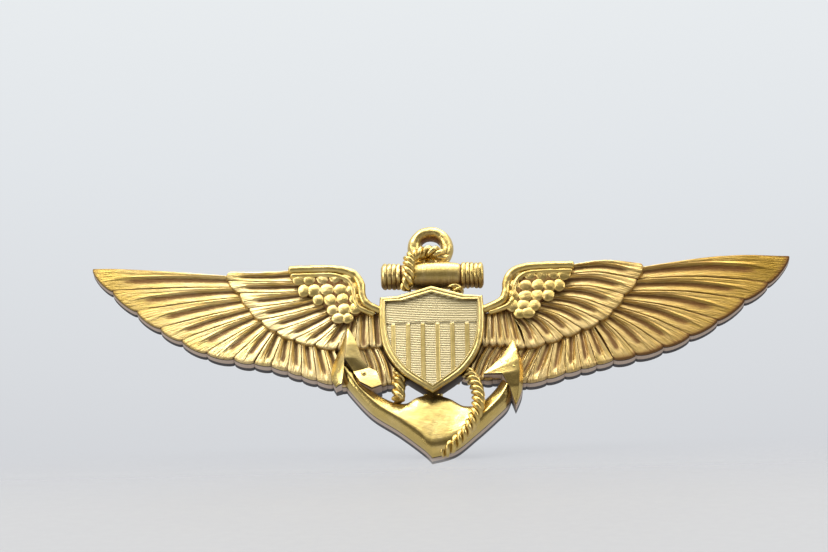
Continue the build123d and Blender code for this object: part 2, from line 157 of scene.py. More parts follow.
# %% A relief shell
def add_shell(bm, columns, rows, place, back=0.0, cut_edge=True):
    """A grid laid over the relief by place(u, v), then extruded back to a flat underside.

    place gives x, z, height, depth in a groove, and the lengths across and along.
    """
    layer = bm.verts.layers.float
    front = bmesh.ops.create_grid(bm, x_segments=columns, y_segments=rows, size=1.0)["verts"]
    for vert in front:
        u, v = (vert.co.x + 1) / 2, (vert.co.y + 1) / 2
        x, z, height, depth, s, t = place(u, v)
        vert.co = metal_point(x, z, height)
        vert[layer["depth"]], vert[layer["across"]], vert[layer["along"]] = depth, s, t
    faces = list({face for vert in front for face in vert.link_faces})
    made = bmesh.ops.extrude_face_region(bm, geom=faces)["geom"]
    for vert in (g for g in made if isinstance(g, bmesh.types.BMVert)):
        vert.co.y = -back
        vert[layer["edge"]] = 1.0 if cut_edge else 0.0
        # Back points get no painted shade when the edge is painted, and half painted shade down the sides
        # when it isn't.
        vert[layer["depth"]] = 0.0 if cut_edge else 0.5


# %% [markdown]
# ## Writing a finish as arithmetic
# The gilt finish is a few simple ideas on top of each other: a base colour, painted shade in the
# grooves and hollows, fine polishing lines, and a cut edge painted with a reflection and a shadow.
# Wrapping a socket in a small class lets those ideas be written as sums and products.

# %% A small kit for finishes
class Amount:
    """A number that varies over the metal."""

    def __init__(self, finish, socket):
        self.finish, self.socket = finish, socket

    def __add__(self, other):
        return self.finish.maths("ADD", self, other)

    def __sub__(self, other):
        return self.finish.maths("SUBTRACT", self, other)

    def __rsub__(self, other):
        return self.finish.maths("SUBTRACT", other, self)

    def __mul__(self, other):
        return self.finish.maths("MULTIPLY", self, other)

    __radd__, __rmul__ = __add__, __mul__


class Nodes:
    """A node tree, built a node at a time."""

    def __init__(self, tree):
        self.tree = tree
        self.tree.nodes.clear()

    def put(self, socket, value):
        if isinstance(value, Amount):
            value = value.socket
        if isinstance(value, bpy.types.NodeSocket):
            self.tree.links.new(value, socket)
        else:
            socket.default_value = value

    def node(self, kind, settings=None, stops=None, **values):
        node = self.tree.nodes.new(kind)
        for key, value in (settings or {}).items():
            setattr(node, key, value)
        if stops:
            ramp = node.color_ramp
            while len(ramp.elements) < len(stops):
                ramp.elements.new(0.5)
            for element, (place, colour) in zip(ramp.elements, stops):
                element.position, element.color = place, (*colour, 1.0)
        for key, value in values.items():
            by_number = key[0] == "i" and key[1:].isdigit()
            socket = node.inputs[int(key[1:]) if by_number else key.replace("_", " ")]
            self.put(socket, value)
        return node

    def blend(self, share, a, b):
        return self.node("ShaderNodeMix", {"data_type": "RGBA"}, i0=share, i6=a, i7=b).outputs[2]

    def range_share(self, value, low, high):
        return self.node("ShaderNodeMapRange", Value=value, From_Min=low, From_Max=high).outputs[0]


class Finish(Nodes):
    """One material."""

    def __init__(self, name):
        self.material = bpy.data.materials.new(name)
        self.material.use_nodes = True
        super().__init__(self.material.node_tree)

    def maths(self, operation, a, b):
        return Amount(self, self.node("ShaderNodeMath", {"operation": operation}, i0=a, i1=b).outputs[0])

    def attribute(self, name):
        return Amount(self, self.node("ShaderNodeAttribute", {"attribute_name": name}).outputs["Fac"])

    def objects_place(self):
        return self.node("ShaderNodeTexCoord").outputs["Object"]

    def flat_place(self):
        return self.node("ShaderNodeUVMap").outputs["UV"]

    def stretched(self, place, scale):
        return self.node("ShaderNodeMapping", Vector=place, Scale=scale).outputs[0]

    def grain(self, place, scale, detail=2.0, roughness=0.5):
        made = self.node("ShaderNodeTexNoise", Vector=place, Scale=scale, Detail=detail, Roughness=roughness)
        return Amount(self, made.outputs["Fac"])

    def clamp(self, value, low, high):
        return Amount(self, self.range_share(value, low, high))

    def surface(self, height, distance, strength, **values):
        """Ends the material: a shader with a fine bump of some height."""
        bump = self.node("ShaderNodeBump", Height=height, Distance=distance, Strength=strength)
        shader = self.node("ShaderNodeBsdfPrincipled", Normal=bump.outputs[0], **values)
        self.node("ShaderNodeOutputMaterial", Surface=shader.outputs[0])
        return self.material

    def metal(self, colour, roughness, metallic, height, distance=0.00002, strength=0.5):
        return self.surface(height, distance, strength, Base_Color=colour, Roughness=roughness,
                            Metallic=metallic)


# %% [markdown]
# ## The gilt finish
# The badge is gold plate over brass. On raised places the plate is bright and a little uneven;
# polishing has left lines that follow each feather. Grooves, hollows and undersides are painted a
# red-brown shade, and the right side and the wing ends are painted darker and more amber as shade.
# The cut edge is painted too: a thin shadow line under its top, a pale reflection, then a dark
# shadow below. One recipe with a few numbers makes all the gilt pieces, so they still look like
# one object.

# %% Gilt recipe
LIGHT_GOLD = (1.0, 0.82, 0.46, 1.0)
AMBER_GOLD = (0.50, 0.28, 0.05, 1.0)
OLIVE_GOLD = (0.70, 0.53, 0.18, 1.0)
# Deep gold for the painted shade at the wing ends.
END_SHADE_GOLD = (0.28, 0.165, 0.016, 1.0)
# Red-brown painted shade for grooves, hollows and undersides.
HOLLOW_SHADE_BROWN = (0.130, 0.045, 0.010, 1.0)
# Painted colours for the cut edge: a pale reflection, a dark shadow and a thin shadow line.
EDGE_REFLECTION_PALE = (0.56, 0.44, 0.35, 1.0)
EDGE_SHADOW_GREY = (0.065, 0.060, 0.062, 1.0)
SHADOW_LINE = (0.040, 0.022, 0.010, 1.0)


def gilt(name, brushed=1.0, scratch_and_shade_strength=0.85, rough=0.25, tone=0.5):
    f = Finish(name)
    place = f.objects_place()
    streak = f.grain(f.stretched(f.flat_place(), (3.2, 0.30, 1.0)), 1.0, detail=4.0, roughness=0.7)
    fine = f.grain(f.stretched(f.flat_place(), (11.0, 0.9, 1.0)), 1.0, detail=3.0)
    cloud = f.grain(place, 420.0, detail=4.0, roughness=0.6)
    speck = f.grain(place, 2300.0, detail=2.0)
    depth, edge = f.attribute("depth"), f.attribute("edge")
    across_badge = Amount(f, f.node("ShaderNodeSeparateXYZ", Vector=place).outputs["X"])
    # Painted shade by side: the right side is made warmer and darker, the left side more olive; worn below is
    # random cloud and polishing streaks minus this painted shade.
    right_side_shade = f.clamp(across_badge, -0.012, 0.036)
    left_side_shade = f.clamp(across_badge, -0.012, -0.034)
    worn = cloud * 0.8 + streak * 1.1 * brushed + (tone - 0.95) - left_side_shade * 0.30 - right_side_shade * 0.15
    gold = f.blend(f.clamp(worn, 0.15, 0.75), OLIVE_GOLD, LIGHT_GOLD)
    patches = f.clamp(cloud * 0.5 + fine * 0.5 * brushed, 0.35, 0.65) * 0.5 + 0.4
    warm = f.blend(patches * (right_side_shade * 0.9 + 0.12), gold, AMBER_GOLD)
    # Painted shade at the wing ends: both tips are blended towards deep gold.
    right_end_shade = f.clamp(across_badge, 0.015, 0.035)
    left_end_shade = f.clamp(across_badge, -0.017, -0.034)
    warm = f.blend((right_end_shade * 0.88 + left_end_shade * 0.72) * (cloud * 0.5 + 0.75), warm, END_SHADE_GOLD)
    brush = f.grain(f.stretched(f.flat_place(), (6.5, 0.20, 1.0)), 1.0, detail=2.0)
    scratch = f.clamp(brush, 0.54, 0.64) * brushed
    # Painted shade where the depth number is high, in grooves, hollows and undersides, together with real
    # fine scratches.
    dirt = f.clamp(depth * (speck * 0.8 + 0.7) + scratch * 0.34, 0.18, 0.95) * scratch_and_shade_strength
    colour = f.blend(dirt, warm, HOLLOW_SHADE_BROWN)
    # The cut edge is painted: a thin shadow line just under its top, a pale reflection over the upper part
    # and a dark shadow over the lower part; the back stays gilt.
    not_the_back = 1 - f.clamp(edge, 0.995, 0.999)
    pale = f.clamp(edge, 0.03, 0.10) * not_the_back
    line = f.clamp(edge, 0.005, 0.02) * (1 - f.clamp(edge, 0.10, 0.14))
    dark = f.clamp(edge, 0.58, 0.62) * not_the_back
    colour = f.blend(pale, colour, EDGE_REFLECTION_PALE)
    colour = f.blend(dark, colour, EDGE_SHADOW_GREY)
    colour = f.blend(line, colour, SHADOW_LINE)
    roughness = rough + (right_end_shade + left_end_shade) * 0.08 + streak * 0.16 * brushed
    roughness = roughness + cloud * 0.08 + dirt * 0.2 + pale * 0.2
    metallic = 1 - pale * 0.45 - dirt * 0.3
    height = (streak * 0.55 + fine * 0.35 + brush * 0.5) * brushed + speck * 0.16 + cloud * 0.5
    return f.metal(colour, roughness, metallic, height, distance=0.00015, strength=0.6)


feather_gilt = gilt("feather_gilt", brushed=1.0)
polished_gilt = gilt("polished_gilt", brushed=0.16, rough=0.20, tone=0.66)
cast_gilt = gilt("cast_gilt", brushed=0.5, rough=0.27, scratch_and_shade_strength=0.95)
print("finishes:", [m.name for m in bpy.data.materials][-3:])

# %% [markdown]
# ## One feather
# A struck feather is a shallow roof. Below its upper edge runs a thin quill; under the quill the
# vane drops away and then rises again to its lower edge, so light catches three lines along every
# feather. It could be sculpted, but a grid whose columns follow those lines gives crisp facets and
# lets one recipe draw some sixty feathers from two curves each.

# %% Feather sections
UPPER_SHARES = [0.0, 0.12, 0.32, 0.55, 0.72, 0.88, 1.0]
UPPER_HEIGHTS = [-1.15, -0.40, -0.22, -0.28, -0.48, 0.25, 0.80]
LOWER_SHARES = [0.0, 0.06, 0.115, 0.18, 0.28, 0.38, 0.46, 0.52, 0.58, 0.65, 0.72, 0.79, 0.86, 0.92, 0.955,
                0.98, 1.0]
LOWER_HEIGHTS = [0.80, 0.20, -0.58, -0.88, -1.02, -1.00, -0.90, -0.80, -0.68, -0.56, -0.44, -0.32, -0.2,
                 -0.12, -0.25, -0.55, -1.0]
COLUMNS = len(UPPER_SHARES) + len(LOWER_SHARES) - 2
QUILL = len(UPPER_SHARES) - 1
NEAR_TIP = [0.30, 0.20, 0.12, 0.05, 0.0]


def across_feather(column, ridge):
    """Where a column lies from the upper to the lower edge, and its height on the roof."""
    if column <= QUILL:
        return ridge * UPPER_SHARES[column], UPPER_HEIGHTS[column]
    k = column - QUILL
    return ridge + (1 - ridge) * LOWER_SHARES[k], LOWER_HEIGHTS[k]


def add_feather(bm, upper, lower, height, bulge=0.35, quill=(0.16, 0.5), quill_end=0.86, relief=0.16,
                side=1, rows=26, back=0.06, cut_edge=True, tip_drop=0.20, fade=0.55, tip_dirt=0.35):
    """A feather between two curves from root to tip. height(x) is the level it lies on."""
    length = (along(upper, 1.0) - along(upper, 0.0)).length
    chord = along(lower, 1.0) - along(upper, 1.0)
    outward = Vector((chord.y, -chord.x)).normalized() * -side
    lot = random.random() * 40

    def place(u, v):
        column = round(u * COLUMNS)
        row = v * rows
        plain = rows - len(NEAR_TIP)
        if row <= plain + 0.5:
            v = row / plain * (1 - NEAR_TIP[0] * 1.3 / length)
        else:
            v = 1 - NEAR_TIP[round(row - plain) - 1] / length
        share, level = across_feather(column, mix(quill[0], quill[1], v))
        a, b = along(upper, v), along(lower, v)
        width = (b - a).length
        gone = ease(quill_end - 0.12, quill_end + 0.05, v)
        amount = relief * min(1.05, width / 1.2) * mix(1.0, fade, ease(0.3, 0.95, v))
        plain_level = -0.9 * abs(2 * share - 1) ** 2.5
        if column == QUILL:
            level = mix(level, -0.15, gone)
        level = mix(level, plain_level, gone * 0.75)
        point = mix(a, b, share) + outward * bulge * (4 * share * (1 - share)) ** 0.6 * ease(0.80, 1.0, v)
        left = (1 - v) * length
        drop = tip_drop * max(0.0, 1 - left / 0.26) ** 2
        # Depth sets painted shade: in the grooves below the profile, and over the last part of the feather,
        # where the tip amount paints the end darker.
        depth = max(0.0, -level - 0.45) * 1.7 * (1 - 0.5 * gone) + tip_dirt * ease(0.9, 0.0, left)
        level = height(point.x) + amount * level - drop
        return point.x, point.y, level, min(1.0, depth), share * width + lot, v * length

    add_shell(bm, COLUMNS, rows, place, back, cut_edge)


# %% [markdown]
# ## Flight feathers
# The long feathers are laid in a fan from the tip to the body. Neighbours share an edge, so a list
# of the places where two tips meet, and the matching places at the roots, is all that is needed.
# The two wings of the real badge are not mirror images, so each has its own list.

# %% Levels of the wings
def flight_level(x):
    return mix(2.05, 1.72, ease(14.0, 31.0, abs(x))) - 0.45 * ease(31.0, 36.0, abs(x))


def covert_level(x):
    return flight_level(x) + 0.36


def fan(bm, roots, tips, level, side, bend=0.0, **options):
    """Feathers between neighbouring pairs of root and tip points."""
    edges = []
    for root, tip in zip(roots, tips):
        a, b = Vector(root), Vector(tip)
        sideways = Vector((-(b - a).y, (b - a).x)) * side
        edges.append([a, mix(a, b, 0.5) + sideways * bend, b])
    for upper, lower in zip(edges, edges[1:]):
        add_feather(bm, upper, lower, level, side=side, **options)
    return len(edges) - 1


# %% Left flight feathers
random.seed(4)
left_flight = new_metal()
primary_roots = [(-19.6, 6.62), (-18.6, 5.33), (-18.2, 4.35), (-17.8, 3.25), (-17.2, 2.45), (-16.6, 1.85),
                 (-15.9, 1.3), (-15.3, 0.9)]
primary_tips = [(-33.93, 8.05), (-31.85, 5.50), (-29.35, 3.20), (-26.95, 1.25), (-24.80, -0.15),
                (-22.30, -1.60), (-19.60, -2.30), (-17.60, -2.80)]
count = fan(left_flight, primary_roots, primary_tips, flight_level, -1, bend=0.012, bulge=0.34,
            relief=0.125, fade=0.4)
inner_roots = [(-15.3, 0.9), (-14.6, 0.5), (-13.8, 0.2), (-12.9, 0.0), (-11.9, -0.3), (-10.9, -0.5),
               (-9.9, -0.8)]
inner_tips = [(-17.60, -2.80), (-15.90, -3.15), (-14.30, -3.70), (-12.90, -4.25), (-11.40, -4.80),
              (-9.80, -5.30), (-8.40, -5.60)]
count += fan(left_flight, inner_roots, inner_tips, flight_level, -1, bulge=0.22, relief=0.19, fade=0.9,
             rows=18)
foot_roots = [(-8.4, -1.2), (-7.1, -1.25), (-6.35, -1.3), (-5.65, -1.3), (-4.6, -1.0), (-3.6, -1.0)]
foot_tips = [(-7.4, -5.2), (-6.2, -5.55), (-5.3, -5.65), (-4.5, -5.5), (-3.6, -5.3), (-2.6, -4.9)]
count += fan(left_flight, foot_roots, foot_tips, flight_level, -1, bend=-0.05, bulge=0.15, relief=0.16,
             fade=0.9, quill_end=0.95, rows=18)
finish_metal(left_flight, "left_flight_feathers", feather_gilt, ["left_wing"], crease=17)
print("left flight feathers:", count)

# %% [markdown]
# ## The other wing
# The right wing is longer, its feathers curve more and its tips get more painted shade, so its
# places and numbers differ. The recipe for a feather stays the same.

# %% Right flight feathers
right_flight = new_metal()
primary_roots = [(20.4, 6.55), (19.6, 5.25), (19.2, 4.0), (18.6, 3.15), (17.9, 2.45), (17.1, 1.9),
                 (16.3, 1.45), (15.5, 1.0)]
primary_tips = [(35.88, 7.80), (33.55, 4.80), (31.10, 2.95), (28.30, 0.75), (25.45, -0.85), (22.80, -2.05),
                (20.05, -2.85), (17.80, -3.30)]
count = fan(right_flight, primary_roots, primary_tips, flight_level, 1, bend=0.035, bulge=0.34,
            relief=0.145, fade=0.5, tip_dirt=1.0)
inner_roots = [(15.5, 1.0), (14.9, 0.6), (14.1, 0.2), (13.2, -0.1), (12.2, -0.5), (11.2, -0.9),
               (10.2, -1.1), (9.0, -1.3)]
inner_tips = [(17.80, -3.30), (16.15, -3.80), (14.60, -4.20), (13.00, -4.60), (11.20, -5.20), (9.20, -5.60),
              (8.20, -5.30), (7.40, -5.00)]
count += fan(right_flight, inner_roots, inner_tips, flight_level, 1, bulge=0.22, relief=0.15, fade=0.9,
             rows=18)
foot_roots = [(9.0, -1.3), (7.6, -1.4), (6.6, -1.5), (5.8, -1.5), (4.8, -1.4), (3.8, -1.2)]
foot_tips = [(7.4, -4.9), (5.9, -5.2), (5.0, -5.2), (4.3, -5.1), (3.6, -5.0), (2.8, -4.8)]
count += fan(right_flight, foot_roots, foot_tips, flight_level, 1, bend=-0.04, bulge=0.15, relief=0.16,
             fade=0.9, quill_end=0.95, rows=18)
finish_metal(right_flight, "right_flight_feathers", feather_gilt, ["right_wing"], crease=17)
print("right flight feathers:", count)

# %% [markdown]
# ## Coverts
# A second row of shorter feathers overlaps the roots of the first. They are the same recipe on a
# higher level, with rounder tips that cast a small shadow, and their cut edges are plain gilt.

# %% Covert feathers
covert_options = {"back": 0.12, "cut_edge": False, "bulge": 0.30, "tip_drop": 0.30, "relief": 0.17,
                  "fade": 0.75, "rows": 22}
left_coverts = new_metal()
covert_roots = [(-13.4, 6.95), (-12.6, 5.65), (-12.0, 4.6), (-11.1, 3.9), (-10.5, 3.1), (-9.9, 2.4),
                (-9.2, 1.9), (-8.6, 1.6), (-8.0, 1.4)]
covert_tips = [(-20.05, 6.98), (-20.25, 6.05), (-19.05, 4.65), (-18.10, 2.90), (-16.90, 1.55), (-15.40, 0.30),
               (-13.60, -0.65), (-11.60, -1.25), (-9.40, -1.75)]
count = fan(left_coverts, covert_roots, covert_tips, covert_level, -1, bend=-0.015, **covert_options)
neck_roots = [(-8.3, 1.3), (-7.3, 2.1), (-6.25, 2.1), (-4.9, 1.9)]
neck_tips = [(-9.40, -1.75), (-7.6, -1.6), (-6.2, -1.5), (-4.7, -1.4)]
neck_options = {**covert_options, "quill": (0.35, 0.4), "quill_end": 0.97}
count += fan(left_coverts, neck_roots, neck_tips, covert_level, -1, **neck_options)
finish_metal(left_coverts, "left_coverts", feather_gilt, crease=17)
right_coverts = new_metal()
covert_roots = [(13.7, 6.80), (12.8, 5.7), (12.2, 4.4), (11.3, 3.5), (10.5, 2.9), (9.8, 2.3), (9.2, 1.9),
                (8.5, 1.6), (7.9, 1.5)]
covert_tips = [(21.10, 6.85), (20.50, 5.15), (19.15, 3.50), (18.00, 1.85), (16.60, 0.65), (14.80, -0.20),
               (13.00, -0.95), (11.20, -1.55), (9.20, -2.05)]
count += fan(right_coverts, covert_roots, covert_tips, covert_level, 1, bend=0.07, **covert_options)
neck_roots = [(8.0, 1.6), (7.4, 1.8), (6.8, 1.8), (6.2, 1.75), (5.65, 1.7), (5.0, 1.7)]
neck_tips = [(9.20, -2.05), (8.0, -1.75), (7.2, -1.65), (6.4, -1.6), (5.6, -1.6), (4.9, -1.6)]
count += fan(right_coverts, neck_roots, neck_tips, covert_level, 1, **covert_options)
finish_metal(right_coverts, "right_coverts", feather_gilt, crease=17)
print("covert feathers:", count)

# %% [markdown]
# ## Shoulders
# The front of each wing is a raised shoulder with a double rolled rim and rows of small round
# scales like pebbles. Each scale is a ball pressed a little into the shoulder, squashed by a
# different amount, so no two catch the light the same way.

# %% Shoulder scales and rims
RIM_RADIUS = 0.42
INNER_RIM_RADIUS = 0.27


def shoulder_level(x):
    return covert_level(x) + 0.52


def add_tube(bm, centres, radius, sides=12, rows=80, lumps=0.0):
    """A round bar swept along a smooth curve of (x, z, height) points."""
    layer = bm.verts.layers.float
    points = [Vector(p) for p in centres]

    def place(u, v):
        at = along(points, u)
        ahead = (along(points, min(1.0, u + 0.004)) - along(points, max(0.0, u - 0.004))).normalized()
        sideways = ahead.cross(Vector((0, 0, 1))).normalized()
        up = sideways.cross(ahead)
        angle = 2 * math.pi * v
        r = radius(u) if callable(radius) else radius
        r *= 1 + lumps * noise.noise(at * 2.3)
        end = min(u, 1 - u) * 40
        r *= math.sqrt(max(0.02, 1 - (1 - min(1.0, end)) ** 2))
        return at + (sideways * math.cos(angle) + up * math.sin(angle)) * r, angle, u

    verts = bmesh.ops.create_grid(bm, x_segments=rows, y_segments=sides, size=1.0)["verts"]
    for vert in verts:
        at, angle, u = place((vert.co.x + 1) / 2, (vert.co.y + 1) / 2)
        vert.co = metal_point(at.x, at.y, at.z)
        vert[layer["across"]], vert[layer["along"]] = angle * 0.3, u * 10
    bmesh.ops.remove_doubles(bm, verts=verts, dist=1e-5)
    rims = [e for e in bm.edges if e.is_boundary]
    bmesh.ops.holes_fill(bm, edges=rims, sides=0)


def add_pebble(bm, x, z, level, radius, proud):
    layer = bm.verts.layers.float
    turn = random.random() * 6.28
    wide, tall = random.uniform(0.92, 1.12), random.uniform(0.86, 1.06)
    ball = bmesh.ops.create_uvsphere(bm, u_segments=18, v_segments=12, radius=1.0)["verts"]
    for vert in ball:
        unit = vert.co.copy()
        rough = 1 + 0.13 * noise.noise(unit * 1.6 + Vector((x, z, 0)) * 3)
        px = (unit.x * wide * math.cos(turn) - unit.y * tall * math.sin(turn)) * radius * rough
        pz = (unit.x * wide * math.sin(turn) + unit.y * tall * math.cos(turn)) * radius * rough
        vert.co = metal_point(x + px, z + pz, level + unit.z * proud * rough)
        # The sides of each scale get painted shade where they sink into the shoulder.
        vert[layer["depth"]] = 1 - ease(-0.1, 0.55, unit.z)
        vert[layer["across"]], vert[layer["along"]] = unit.x, unit.y


def add_plate(bm, upper, lower, height, columns=48, rows=24, depth=0.6, back=0.02, cut_edge=False):
    """A thin cushion between two curves; height(u, v) is its level."""

    def place(u, v):
        at = mix(along(upper, u), along(lower, u), v)
        edge = min(1.0, min(v, 1 - v, u, 1 - u) * 12)
        return at.x, at.y, height(u, v) - 0.10 * (1 - edge) ** 2, depth, at.x, at.y

    add_shell(bm, columns, rows, place, back, cut_edge)


def shoulder(name, sheet_top, sheet_bottom, pebbles, rims):
    random.seed(9)
    bm = new_metal()

    def level(u, v):
        x = mix(sheet_top[0][0], sheet_top[-1][0], u)
        return shoulder_level(x) - 0.10 * (2 * v - 1) ** 2

    # The sheet between the scales gets strong painted shade.
    add_plate(bm, vectors(sheet_top), vectors(sheet_bottom), level, depth=0.8)
    for x, z, radius in pebbles:
        add_pebble(bm, x, z, shoulder_level(x) - 0.12, radius, 0.24)
    for points, radius in rims:
        centres = [(x, z, shoulder_level(x) - 0.05 - 0.45 * ease(6.9, 5.2, abs(x))) for x, z in points]
        add_tube(bm, centres, radius, rows=110, lumps=0.12)
    return finish_metal(bm, name, cast_gilt, crease=50)


def pebble_rows(side, rows):
    found = []
    for z, xs in rows:
        for x in xs:
            found.append((side * x, z + random.uniform(-0.08, 0.08), random.uniform(0.64, 0.74)))
    return found


# %% [markdown]
# ## Both shoulders
# The scales lie in rows that follow the rim and grow shorter downwards. The left shoulder is a
# little higher than the right one, so each side has its own rows and rims.

# %% Shoulder pieces
random.seed(12)
left_pebbles = pebble_rows(-1, [(5.65, (8.2, 9.5, 10.8, 12.1, 13.1)), (4.45, (7.8, 9.0, 10.3, 11.6, 12.6)),
                                (3.35, (7.6, 8.8, 10.0, 11.2)), (2.25, (7.5, 8.6, 9.8)), (1.25, (8.3, 9.2))])
right_pebbles = pebble_rows(1, [(5.6, (8.6, 9.8, 11.0, 12.2, 13.2)), (4.4, (8.2, 9.4, 10.6, 11.8, 12.7)),
                                (3.3, (8.1, 9.3, 10.5, 11.6)), (2.25, (8.0, 9.1, 10.2)), (1.45, (8.7, 9.5))])
left_rim = [(-14.2, 6.66), (-12.0, 6.70), (-9.4, 6.62), (-7.7, 6.05), (-7.0, 4.95), (-6.85, 3.7),
            (-6.35, 2.75), (-5.0, 2.15)]
left_rim_in = [(-14.0, 6.02), (-12.0, 6.05), (-9.7, 5.98), (-8.4, 5.5), (-7.8, 4.6), (-7.6, 3.4),
               (-7.1, 2.35), (-5.6, 1.75)]
right_rim = [(14.3, 6.50), (12.0, 6.52), (9.6, 6.42), (8.15, 5.9), (7.5, 4.8), (7.35, 3.55), (6.75, 2.6),
             (5.0, 2.0)]
right_rim_in = [(14.1, 5.88), (12.0, 5.9), (9.9, 5.82), (8.85, 5.35), (8.3, 4.5), (8.1, 3.3), (7.5, 2.2),
                (5.6, 1.65)]
shoulder("left_shoulder",
         [(-13.7, 6.7), (-11.0, 6.7), (-8.8, 6.5), (-7.1, 5.4), (-6.9, 3.6), (-6.1, 2.6)],
         [(-13.4, 6.0), (-12.7, 4.7), (-11.3, 3.5), (-10.4, 2.5), (-9.4, 1.6), (-7.4, 1.6)],
         left_pebbles, [(left_rim, RIM_RADIUS), (left_rim_in, INNER_RIM_RADIUS)])
shoulder("right_shoulder",
         [(13.9, 6.5), (11.2, 6.5), (9.2, 6.3), (7.55, 5.2), (7.35, 3.5), (6.5, 2.5)],
         [(13.6, 5.9), (12.9, 4.6), (11.6, 3.4), (10.6, 2.4), (9.5, 1.6), (7.8, 1.6)],
         right_pebbles, [(right_rim, RIM_RADIUS), (right_rim_in, INNER_RIM_RADIUS)])

# %% [markdown]
# ## Wing blanks
# Under the feathers each wing is one plate with a flat back. Modelling it too closes the tiny gaps
# between feather roots and gives the wing a real back, where the pin's findings are soldered.

# %% Wing blanks
def wing_blank(name, top, bottom):
    bm = new_metal()

    def level(u, v):
        at = mix(along(top, u), along(bottom, u), v)
        return flight_level(at.x) - 0.32

    # The blank's front gets full painted shade, so the gaps between feather roots show dark.
    add_plate(bm, top, bottom, level, columns=90, rows=14, depth=1.0, back=0.0, cut_edge=True)
    return finish_metal(bm, name, cast_gilt)


wing_blank("left_wing_blank",
           vectors([(-5.9, 2.3), (-6.75, 3.6), (-7.0, 5.6), (-8.9, 6.6), (-11.5, 6.7), (-14.25, 6.75),
                    (-20.1, 6.8), (-26.0, 7.05), (-31.0, 7.55), (-33.2, 7.8)]),
           vectors([(-5.0, -5.0), (-6.8, -5.2), (-9.0, -5.3), (-11.3, -4.5), (-14.0, -3.5), (-17.5, -2.5),
                    (-22.0, -1.3), (-26.5, 1.4), (-31.0, 5.0), (-33.0, 7.3)]))
wing_blank("right_wing_blank",
           vectors([(5.9, 2.2), (7.2, 3.5), (7.5, 5.4), (9.3, 6.45), (12.0, 6.55), (14.5, 6.6), (21.1, 6.65),
                    (27.5, 6.9), (32.5, 7.35), (35.1, 7.6)]),
           vectors([(5.0, -4.9), (6.9, -4.9), (9.0, -5.2), (11.4, -4.8), (14.3, -4.0), (17.6, -3.0),
                    (22.5, -1.8), (27.7, 0.7), (32.6, 4.3), (34.9, 7.2)]))

# %% [markdown]
# ## The anchor's crown and arms
# The shank ends in a pointed crown, and two arms sweep up from it to the palms. Each side is a
# grid from the inner edge to the outer one, and the two grids meet on the middle line.

# %% Crown and arms
def arm(bm, inner, outer, ridge_height=1.05, outer_height=1.75, columns=44, rows=16):
    def place(u, v):
        a, b = along(inner, u), along(outer, u)
        at = mix(a, b, v)
        level_line = mix(inner[0].y, outer[0].y, v)
        keep = max(ease(0.0, 0.25, u), ease(0.84, 1.0, v), ease(0.14, 0.0, v))
        at.y = mix(level_line, at.y, keep)
        peak = mix(0.80, 0.55, ease(0.0, 0.8, u))
        if v < peak:
            rise = (v / peak) ** 0.75
        else:
            rise = math.sqrt(max(0.0, 1 - ((v - peak) / (1 - peak)) ** 2))
        h = mix(1.9, outer_height, v) + ridge_height * rise
        worn = 0.04 * noise.noise(Vector((at.x, at.y, 0)) * 1.7)
        # Painted shade along the inner edge of each arm, next to the openings.
        rim = 0.8 * (1 - ease(0.0, 0.14, v)) * ease(0.1, 0.3, u)
        return at.x, at.y, max(1.2, h + worn), rim, v * 2.5, u * 10

    add_shell(bm, columns, rows, place, back=0.03)


anchor = new_metal()
arm(anchor, vectors([(0, -6.6), (-1.6, -7.05), (-2.7, -7.65), (-4.3, -7.3), (-6.2, -5.9), (-8.05, -3.0)]),
    vectors([(-0.2, -13.36), (-1.05, -12.45), (-3.4, -10.5), (-6.0, -8.65), (-7.95, -6.4), (-9.2, -4.6)]))
arm(anchor, vectors([(0, -6.6), (1.7, -7.3), (3.0, -8.05), (4.5, -7.85), (5.8, -6.7), (6.8, -5.4)]),
    vectors([(-0.2, -13.36), (2.1, -12.7), (4.2, -11.0), (6.1, -9.25), (7.3, -7.95), (7.9, -6.3)]))
shank = [(0, -9.0, 0.95), (0, -7.2, 1.05), (0, -2.0, 1.3), (0, 3.0, 1.3), (0, 6.0, 1.25), (0, 8.5, 1.1)]
add_tube(anchor, shank, lambda u: mix(0.84, 1.08, ease(0.12, 0.36, u)), sides=20, rows=60, lumps=0.02)
finish_metal(anchor, "anchor_crown_and_shank", polished_gilt, ["anchor"], crease=50)

# %% [markdown]
# ## Palms
# Each arm ends in a leaf-shaped palm bent along a ridge. One half faces up and stays dark, the
# other faces out and shines; two grids that share the ridge line do this directly.

# %% Palms
def path(points, share):
    """A point on straight runs between points, so corners stay sharp."""
    place = share * (len(points) - 1)
    i = min(int(place), len(points) - 2)
    return mix(Vector(points[i]), Vector(points[i + 1]), place - i)


def palm(name, panels, knobs, node_name):
    """Panels are pairs of edges, each edge a list of (x, z, height)."""
    bm = new_metal()
    for first, second, curved in panels:
        def place(u, v, first=first, second=second, curved=curved):
            line = along if curved else path
            at = mix(line(vectors(first), u), line(vectors(second), u), v)
            # The panel borders and the ridge between them get painted shade.
            border = 1 - ease(0.0, 0.10, min(v, 1 - v))
            return at.x, at.y, at.z + 0.05 * math.sin(math.pi * v), 0.55 * border, v * 2, u * 6

        add_shell(bm, 40, 14, place, back=0.10)
    for x, z, height, radius in knobs:
        add_pebble(bm, x, z, height, radius, 0.22)
    return finish_metal(bm, name, polished_gilt, [node_name], crease=40)


# %% [markdown]
# ## The two leaves
# The left palm also shows its flat, bright inner end with a small stud; the right one is a broad
# leaf whose point hooks down past the wing, with a boss in the middle.

